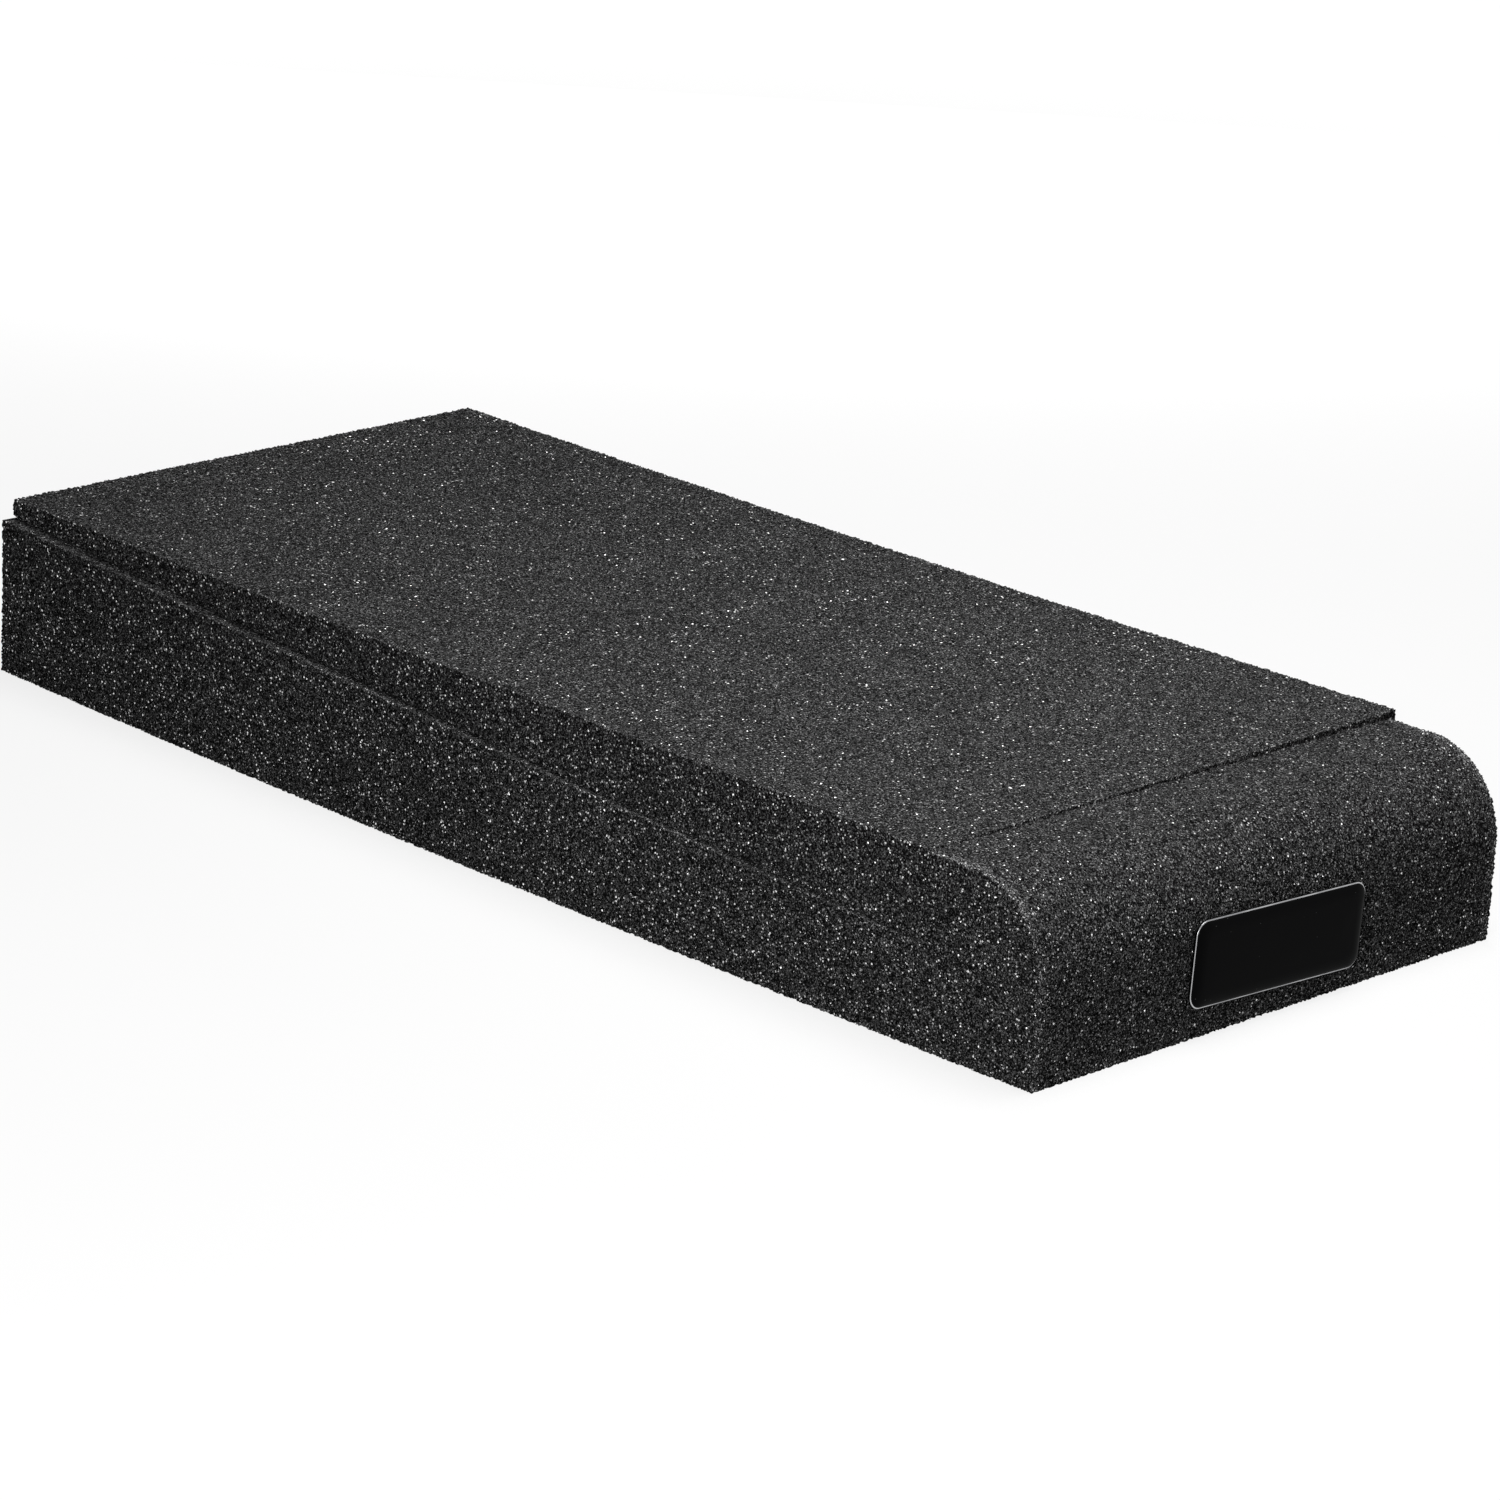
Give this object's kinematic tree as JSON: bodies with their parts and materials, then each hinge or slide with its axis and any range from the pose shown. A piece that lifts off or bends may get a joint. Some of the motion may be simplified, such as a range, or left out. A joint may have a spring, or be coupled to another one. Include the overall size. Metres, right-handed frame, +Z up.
{
  "type": "speaker isolation pad",
  "caption": "Long foam pad with a rounded front lip, a sloping seat behind it, a foam wedge that levels the top, and a small blank badge on the front.",
  "frame": {"origin": "centre of the base pad's underside, on the surface that it lies on", "axes": "+Y runs along the pad from the rounded lip at the front, at -Y, to the back; +X is to the right as seen from the front; +Z is up"},
  "size_m": [0.1341, 0.3071, 0.0393],
  "materials": {
    "foam": "matte charcoal open-cell foam with fine bright glints from its cell walls",
    "badge_tape": "matte black foam tape",
    "badge_plate": "bright cut edge",
    "badge_inlay": "glossy black domed resin, blank"
  },
  "bodies": {
    "root": {"base_pad": "foam", "tilt_wedge": "foam", "badge_tape": "badge_tape", "badge_plate": "badge_plate", "badge_inlay": "badge_inlay"}
  },
  "joints": []
}
